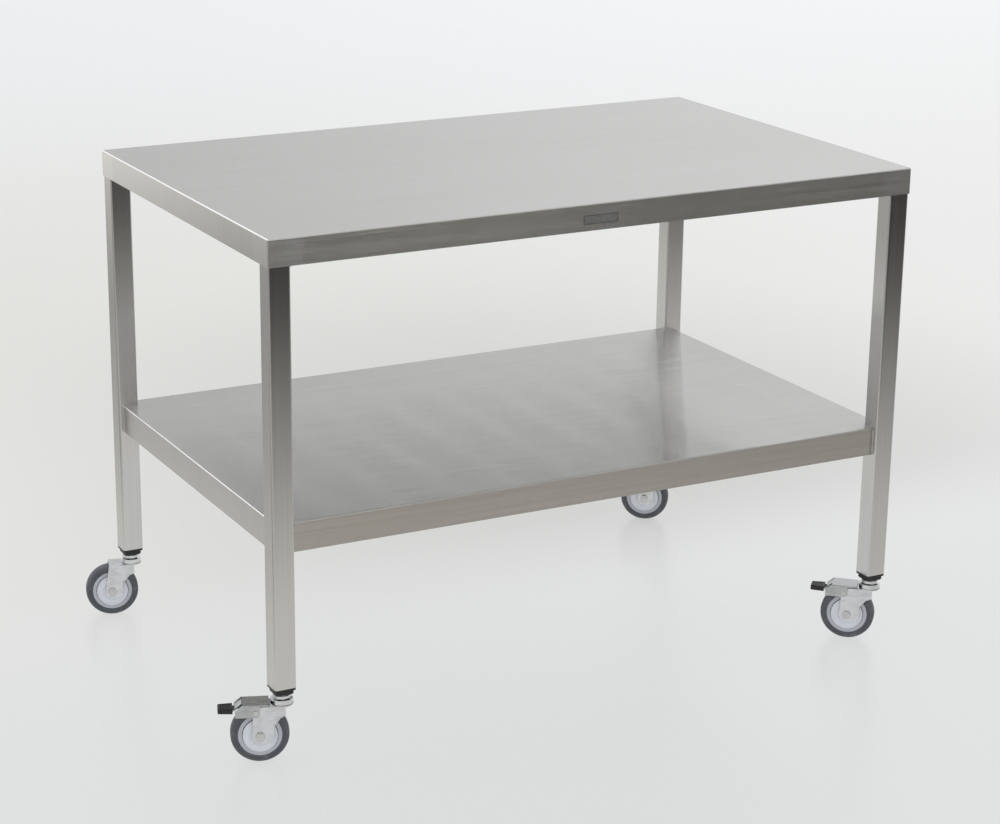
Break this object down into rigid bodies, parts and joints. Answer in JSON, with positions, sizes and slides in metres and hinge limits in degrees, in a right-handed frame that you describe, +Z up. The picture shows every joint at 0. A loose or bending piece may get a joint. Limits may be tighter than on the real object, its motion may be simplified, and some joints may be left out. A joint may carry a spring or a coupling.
{
  "type": "mobile stainless work table",
  "caption": "Stainless work table with skirted sheet top, square tube legs, notched under-shelf and swivel casters, the front pair with foot brakes.",
  "frame": {"origin": "on the floor, under the middle of the space that the table takes up, casters included", "axes": "+Z up, +X along the table's long side, +Y to the back; the braked casters are at the front (-Y)"},
  "size_m": [1.3017, 0.8006, 0.889],
  "materials": {
    "stainless_sheet": "fine straight grain, satin",
    "leg_tube": "straight grain along the tube, satin",
    "stainless_channel": "mill finish",
    "nameplate": "satin, blank",
    "weld": "rippled bead",
    "black_plug": "matt moulded",
    "plated_steel": "bright zinc plate",
    "fastener_steel": "bright zinc plate",
    "bearing_steel": "polished",
    "brake_steel": "satin plate",
    "black_pedal": "fine moulded texture",
    "grey_tyre": "smooth dark blue-grey rubber",
    "wheel_core": "moulded grey",
    "thread_guard": "smooth pale grey"
  },
  "bodies": {
    "table": {"top_panel": "stainless_sheet", "shelf_panel": "stainless_sheet", "top_channel_front": "stainless_channel", "top_channel_back": "stainless_channel", "shelf_channel": "stainless_channel", "nameplate": "nameplate", "shelf_welds": "weld", "leg_front_left": "leg_tube", "leg_plug_front_left": "black_plug", "caster_stem_front_left": "plated_steel", "swivel_cap_front_left": "plated_steel", "leg_front_right": "leg_tube", "leg_plug_front_right": "black_plug", "caster_stem_front_right": "plated_steel", "swivel_cap_front_right": "plated_steel", "leg_back_left": "leg_tube", "leg_plug_back_left": "black_plug", "caster_stem_back_left": "plated_steel", "swivel_cap_back_left": "plated_steel", "leg_back_right": "leg_tube", "leg_plug_back_right": "black_plug", "caster_stem_back_right": "plated_steel", "swivel_cap_back_right": "plated_steel"},
    "fork_front_left": {"caster_fork_front_left": "plated_steel", "swivel_balls_front_left": "bearing_steel", "axle_set_front_left": "fastener_steel", "brake_pins_front_left": "fastener_steel"},
    "wheel_front_left": {"tyre_front_left": "grey_tyre", "wheel_core_front_left": "wheel_core", "thread_guards_front_left": "thread_guard", "wheel_bearings_front_left": "bearing_steel"},
    "brake_front_left": {"brake_lever_front_left": "brake_steel", "brake_pedal_front_left": "black_pedal", "brake_shoe_front_left": "black_pedal"},
    "fork_front_right": {"caster_fork_front_right": "plated_steel", "swivel_balls_front_right": "bearing_steel", "axle_set_front_right": "fastener_steel", "brake_pins_front_right": "fastener_steel"},
    "wheel_front_right": {"tyre_front_right": "grey_tyre", "wheel_core_front_right": "wheel_core", "thread_guards_front_right": "thread_guard", "wheel_bearings_front_right": "bearing_steel"},
    "brake_front_right": {"brake_lever_front_right": "brake_steel", "brake_pedal_front_right": "black_pedal", "brake_shoe_front_right": "black_pedal"},
    "fork_back_left": {"caster_fork_back_left": "plated_steel", "swivel_balls_back_left": "bearing_steel", "axle_set_back_left": "fastener_steel"},
    "wheel_back_left": {"tyre_back_left": "grey_tyre", "wheel_core_back_left": "wheel_core", "thread_guards_back_left": "thread_guard", "wheel_bearings_back_left": "bearing_steel"},
    "fork_back_right": {"caster_fork_back_right": "plated_steel", "swivel_balls_back_right": "bearing_steel", "axle_set_back_right": "fastener_steel"},
    "wheel_back_right": {"tyre_back_right": "grey_tyre", "wheel_core_back_right": "wheel_core", "thread_guards_back_right": "thread_guard", "wheel_bearings_back_right": "bearing_steel"}
  },
  "joints": [
    {"name": "swivel_front_left", "type": "hinge", "parent": "table", "child": "fork_front_left", "pos_m": [-0.54805, -0.37695, 0.102], "axis": [0, 0, 1], "continuous": true},
    {"name": "wheel_spin_front_left", "type": "hinge", "parent": "fork_front_left", "child": "wheel_front_left", "pos_m": [-0.58282, -0.36429, 0.049], "axis": [-0.342, -0.9397, 0], "continuous": true},
    {"name": "brake_press_front_left", "type": "hinge", "parent": "fork_front_left", "child": "brake_front_left", "pos_m": [-0.5894, -0.3619, 0.092], "axis": [-0.342, -0.9397, 0], "range_deg": [0, 8]},
    {"name": "swivel_front_right", "type": "hinge", "parent": "table", "child": "fork_front_right", "pos_m": [0.63005, -0.37695, 0.102], "axis": [0, 0, 1], "continuous": true},
    {"name": "wheel_spin_front_right", "type": "hinge", "parent": "fork_front_right", "child": "wheel_front_right", "pos_m": [0.60255, -0.35219, 0.049], "axis": [-0.6691, -0.7431, 0], "continuous": true},
    {"name": "brake_press_front_right", "type": "hinge", "parent": "fork_front_right", "child": "brake_front_right", "pos_m": [0.59735, -0.34751, 0.092], "axis": [-0.6691, -0.7431, 0], "range_deg": [0, 8]},
    {"name": "swivel_back_left", "type": "hinge", "parent": "table", "child": "fork_back_left", "pos_m": [-0.54805, 0.34395, 0.102], "axis": [0, 0, 1], "continuous": true},
    {"name": "wheel_spin_back_left", "type": "hinge", "parent": "fork_back_left", "child": "wheel_back_left", "pos_m": [-0.58362, 0.35415, 0.049], "axis": [-0.2756, -0.9613, 0], "continuous": true},
    {"name": "swivel_back_right", "type": "hinge", "parent": "table", "child": "fork_back_right", "pos_m": [0.63005, 0.34395, 0.102], "axis": [0, 0, 1], "continuous": true},
    {"name": "wheel_spin_back_right", "type": "hinge", "parent": "fork_back_right", "child": "wheel_back_right", "pos_m": [0.60012, 0.3657, 0.049], "axis": [-0.5878, -0.809, 0], "continuous": true}
  ]
}
